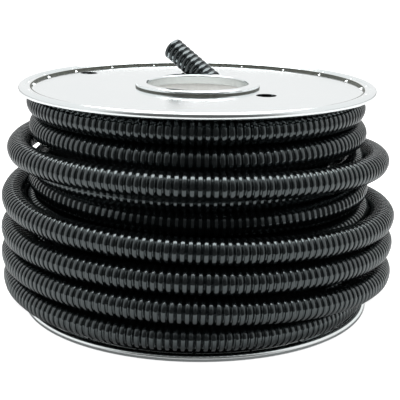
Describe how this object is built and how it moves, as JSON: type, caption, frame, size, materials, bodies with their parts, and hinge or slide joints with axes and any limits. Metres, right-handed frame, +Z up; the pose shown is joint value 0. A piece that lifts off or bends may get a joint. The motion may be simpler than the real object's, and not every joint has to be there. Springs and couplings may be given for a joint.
{
  "type": "corrugated conduit on a reel",
  "caption": "Black corrugated plastic conduit wound on a flanged steel reel with a central arbor bore, one open conduit end rising through the upper flange.",
  "frame": {"origin": "middle of the footprint, on the plane the lower rim stands on", "axes": "+Z up along the arbor bore; -X is the side the free end of the conduit leans to; +Y is the side it rises on"},
  "size_m": [0.281, 0.2812, 0.1808],
  "materials": {
    "flange_steel": "satin",
    "tube_board": "matte",
    "conduit_plastic": "satin"
  },
  "bodies": {
    "root": {"top_flange": "flange_steel", "bottom_flange": "flange_steel", "core_tube": "tube_board", "conduit": "conduit_plastic"}
  },
  "joints": []
}
